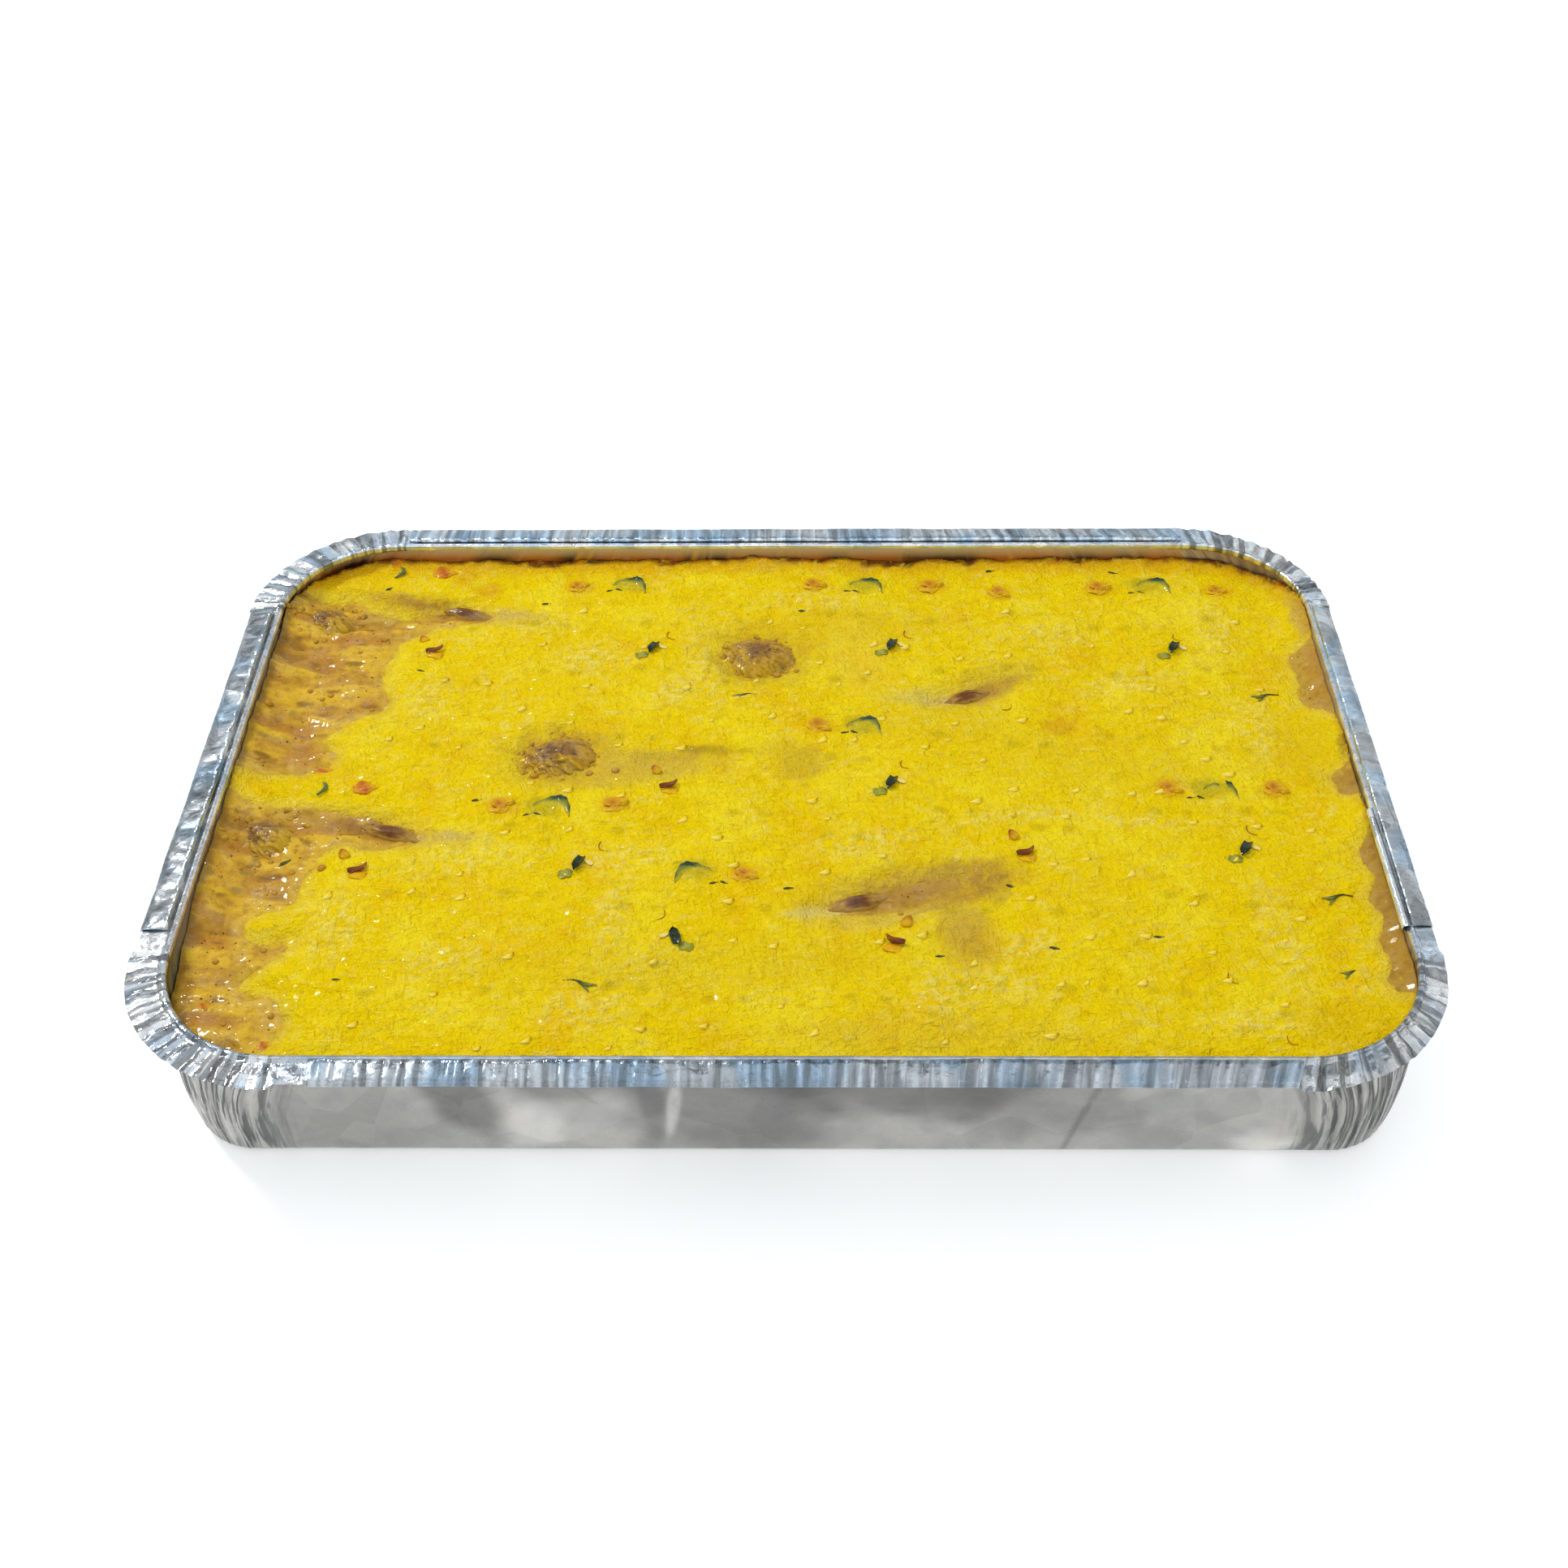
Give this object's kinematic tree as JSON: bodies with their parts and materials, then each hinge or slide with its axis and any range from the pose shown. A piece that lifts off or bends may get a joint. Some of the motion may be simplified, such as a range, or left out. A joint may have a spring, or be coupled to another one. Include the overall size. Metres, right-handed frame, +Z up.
{
  "type": "foil tray meal",
  "caption": "Oblong crimped aluminium foil tray filled with a creamy meat bake under golden mashed potato, with herbs and browned bits.",
  "frame": {"origin": "centre of the tray's underside, on the surface it stands on", "axes": "+X along the tray's long side, +Y towards the back, +Z up out of the tray"},
  "size_m": [0.316, 0.217, 0.0457],
  "materials": {
    "foil": "thin rolled foil, crimped and slightly crumpled",
    "creamy_sauce": null,
    "golden_mash": null,
    "browned_meat": null,
    "wet_beef": null
  },
  "bodies": {
    "root": {"foil_tray": "foil", "creamy_filling": "creamy_sauce", "potato_topping": "golden_mash", "meat_lump_1": "browned_meat", "meat_lump_2": "browned_meat", "meat_lump_3": "browned_meat", "meat_lump_4": "browned_meat", "beef_strip_1": "wet_beef", "beef_strip_2": "wet_beef", "beef_strip_3": "wet_beef", "beef_strip_4": "wet_beef"}
  },
  "joints": []
}
